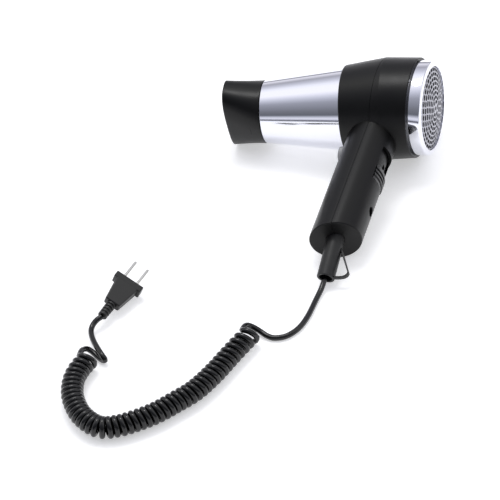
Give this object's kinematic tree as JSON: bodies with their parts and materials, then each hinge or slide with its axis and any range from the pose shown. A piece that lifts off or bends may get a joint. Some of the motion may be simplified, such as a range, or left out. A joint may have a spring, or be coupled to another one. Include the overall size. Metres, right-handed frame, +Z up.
{
  "type": "hand hair dryer",
  "caption": "Hand-held hair dryer with a slotted concentrator nozzle, chrome barrel, round handle with a slide switch and push button, and a curly mains lead.",
  "frame": {"origin": "centre of the underside of the dryer's bounding box, on the table it lies on, the lead and plug left out", "axes": "+Z up from the table; +Y towards the intake housing, away from the handle's end; -X the way the nozzle blows"},
  "size_m": [0.2411, 0.3999, 0.0826],
  "materials": {
    "satin_black_plastic": "satin moulded ABS",
    "gloss_black_plastic": "glossy moulded plastic",
    "black_rubber": "matt flexible PVC",
    "chrome_plate": "mirror chrome plate",
    "grey_plastic": "semi-gloss moulded plastic",
    "bright_steel": "bright steel",
    "brass": "sintered bronze",
    "mica": "pressed mica sheet",
    "resistance_wire": "dull resistance wire",
    "white_nylon": "natural nylon",
    "circuit_board": "solder resist",
    "brown_insulation": "PVC insulation",
    "blue_insulation": "PVC insulation"
  },
  "bodies": {
    "body": {"front_shell": "satin_black_plastic", "rear_shell": "satin_black_plastic", "switch_tray": "satin_black_plastic", "plug_body": "satin_black_plastic", "outlet_collar": "gloss_black_plastic", "air_guide": "gloss_black_plastic", "motor_end_bell": "gloss_black_plastic", "microswitch": "gloss_black_plastic", "cord_sleeve": "black_rubber", "hanging_loop": "black_rubber", "inner_flex": "black_rubber", "cord_lead": "black_rubber", "cord_coil": "black_rubber", "cord_tail": "black_rubber", "plug_boot": "black_rubber", "barrel_sleeve": "chrome_plate", "handle_screw": "bright_steel", "outlet_guard": "bright_steel", "thermal_cutout": "bright_steel", "motor_can": "bright_steel", "motor_magnet_left": "bright_steel", "motor_magnet_right": "bright_steel", "button_spring": "bright_steel", "plug_pin_1": "bright_steel", "plug_pin_2": "bright_steel", "front_bearing": "brass", "rear_bearing": "brass", "mica_tube": "mica", "mica_board_full": "mica", "mica_board_left": "mica", "mica_board_right": "mica", "heating_coil_1": "resistance_wire", "heating_coil_2": "resistance_wire", "heating_coil_3": "resistance_wire", "heating_coil_4": "resistance_wire", "thermal_fuse": "white_nylon", "switch_body": "white_nylon", "cord_clamp": "white_nylon", "rectifier_board": "circuit_board", "live_lead": "brown_insulation", "motor_lead": "brown_insulation", "neutral_lead": "blue_insulation"},
    "nozzle_ring": {"nozzle_snap_ring": "bright_steel"},
    "nozzle": {"concentrator_nozzle": "satin_black_plastic"},
    "rear_cap": {"rear_cap_ring": "chrome_plate", "intake_grille": "bright_steel", "lint_filter": "white_nylon"},
    "fan": {"motor_shaft": "bright_steel", "motor_rotor": "resistance_wire", "fan_impeller": "gloss_black_plastic"},
    "slider": {"switch_slider": "gloss_black_plastic"},
    "button": {"push_button": "grey_plastic"}
  },
  "joints": [
    {"name": "nozzle_pull", "type": "slide", "parent": "body", "child": "nozzle_ring", "axis": [-0.9974, 0, -0.0724], "range_m": [0, 0.014]},
    {"name": "nozzle_turn", "type": "hinge", "parent": "nozzle_ring", "child": "nozzle", "pos_m": [-0.05785, 0.06721, 0.03333], "axis": [-0.9974, 0, -0.0724], "continuous": true},
    {"name": "cap_pull", "type": "slide", "parent": "body", "child": "rear_cap", "axis": [0.9924, -0.1087, 0.057], "range_m": [0, 0.012]},
    {"name": "fan_spin", "type": "hinge", "parent": "body", "child": "fan", "pos_m": [0.05285, 0.06721, 0.04137], "axis": [0.9974, 0, 0.0724], "continuous": true},
    {"name": "switch_slide", "type": "slide", "parent": "body", "child": "slider", "axis": [0.1238, 0.9817, 0.145], "range_m": [0, 0.012]},
    {"name": "button_press", "type": "slide", "parent": "body", "child": "button", "axis": [0.9897, -0.1327, 0.0534], "range_m": [0, 0.0024], "stiffness_N_per_m": 600, "springref_m": -0.001, "deforming": ["button_spring"]}
  ]
}
